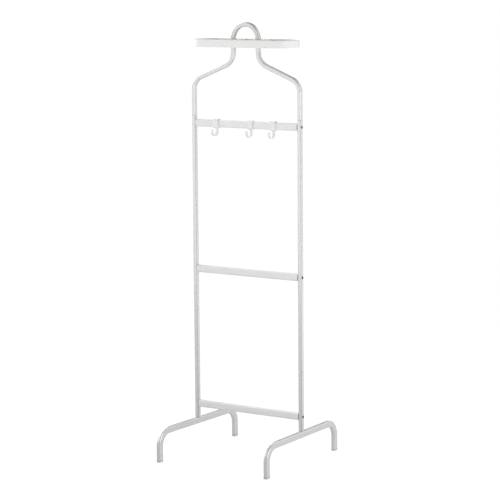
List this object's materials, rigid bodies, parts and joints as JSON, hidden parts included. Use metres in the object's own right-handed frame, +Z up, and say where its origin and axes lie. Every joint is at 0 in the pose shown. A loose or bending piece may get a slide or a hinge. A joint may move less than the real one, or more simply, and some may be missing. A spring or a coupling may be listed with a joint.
{
  "type": "valet stand",
  "caption": "Free-standing clothes valet: bent tube frame with a hanger-shaped top, hand loop, neck tray, crossbars, sliding hooks and arched feet.",
  "frame": {"origin": "on the floor under the middle of the stand, at the bottom centre of its bounding box", "axes": "+Z up; X runs across the stand between its uprights, +X to the right seen from the front; the front is -Y"},
  "size_m": [0.4092, 0.4326, 1.36],
  "materials": {
    "frame_paint": "smooth satin powder coat, warm white",
    "bar_paint": "smooth satin powder coat, neutral white",
    "tray_plastic": "moulded, fine satin texture",
    "hook_plastic": "moulded, semi-gloss",
    "foot_cap_plastic": "moulded, matte grey",
    "plug_plastic": "moulded, matte black",
    "screw_steel": "blackened steel",
    "sleeve_steel": "zinc-plated steel"
  },
  "bodies": {
    "stand": {"hanger_tube": "frame_paint", "left_upright_tube": "frame_paint", "right_upright_tube": "frame_paint", "left_foot_tube": "frame_paint", "right_foot_tube": "frame_paint", "left_joint_sleeve": "sleeve_steel", "right_joint_sleeve": "sleeve_steel", "left_upright_base_plug": "plug_plastic", "right_upright_base_plug": "plug_plastic", "left_foot_screw": "screw_steel", "right_foot_screw": "screw_steel", "left_front_foot_cap": "foot_cap_plastic", "left_back_foot_cap": "foot_cap_plastic", "right_front_foot_cap": "foot_cap_plastic", "right_back_foot_cap": "foot_cap_plastic", "hook_bar": "bar_paint", "middle_bar": "bar_paint", "lower_bar": "bar_paint", "hook_bar_left_plug": "plug_plastic", "hook_bar_right_plug": "plug_plastic", "middle_bar_left_plug": "plug_plastic", "middle_bar_right_plug": "plug_plastic", "lower_bar_left_plug": "plug_plastic", "lower_bar_right_plug": "plug_plastic", "hook_bar_left_screw": "screw_steel", "hook_bar_right_screw": "screw_steel", "middle_bar_left_screw": "screw_steel", "middle_bar_right_screw": "screw_steel", "lower_bar_left_screw": "screw_steel", "lower_bar_right_screw": "screw_steel", "tray": "tray_plastic", "tray_lock_left": "tray_plastic", "tray_lock_right": "tray_plastic", "tray_screw_left": "screw_steel", "tray_screw_right": "screw_steel"},
    "left_hook": {"hook_left": "hook_plastic"},
    "middle_hook": {"hook_middle": "hook_plastic"},
    "right_hook": {"hook_right": "hook_plastic"}
  },
  "joints": [
    {"name": "left_hook_slide", "type": "slide", "parent": "stand", "child": "left_hook", "axis": [1, 0, 0], "range_m": [-0.065, 0.053]},
    {"name": "middle_hook_slide", "type": "slide", "parent": "stand", "child": "middle_hook", "axis": [1, 0, 0], "range_m": [-0.053, 0.03]},
    {"name": "right_hook_slide", "type": "slide", "parent": "stand", "child": "right_hook", "axis": [1, 0, 0], "range_m": [-0.03, 0.0765]}
  ]
}
